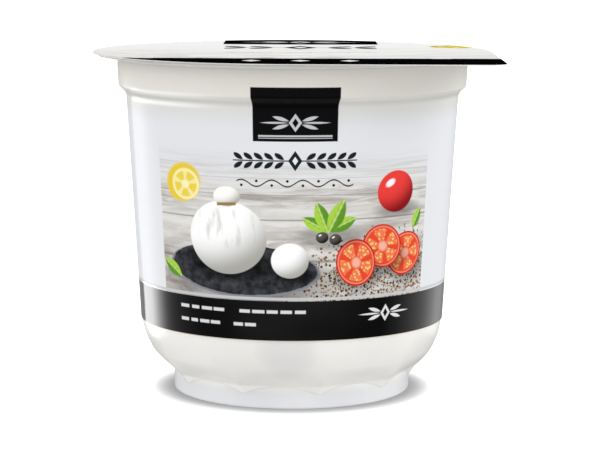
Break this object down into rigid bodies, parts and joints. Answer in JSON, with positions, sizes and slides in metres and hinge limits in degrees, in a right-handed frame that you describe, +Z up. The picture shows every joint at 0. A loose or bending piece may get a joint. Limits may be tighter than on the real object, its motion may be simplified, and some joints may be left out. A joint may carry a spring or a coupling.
{
  "type": "sealed soft cheese pot",
  "caption": "Shut round plastic pot of soft fresh cheese with a lobed bowl on a foot ring, a collar under its flange, a printed film sleeve and a flat sealed lid with a squared pull tab.",
  "frame": {"origin": "centre of the pot's base, on the surface it stands on", "axes": "+Z up along the pot's axis; -Y is the front of the print, and the lid's pull tab is at +X -Y"},
  "size_m": [0.095, 0.095, 0.0813],
  "materials": {
    "pot_plastic": "milky white moulded plastic, softly glossy",
    "sleeve_film": "glossy printed film, white ground with a black band",
    "lid_film": "satin printed sealing film, pale ground with a black front"
  },
  "bodies": {
    "root": {"pot": "pot_plastic", "sleeve": "sleeve_film", "lid": "lid_film"}
  },
  "joints": []
}
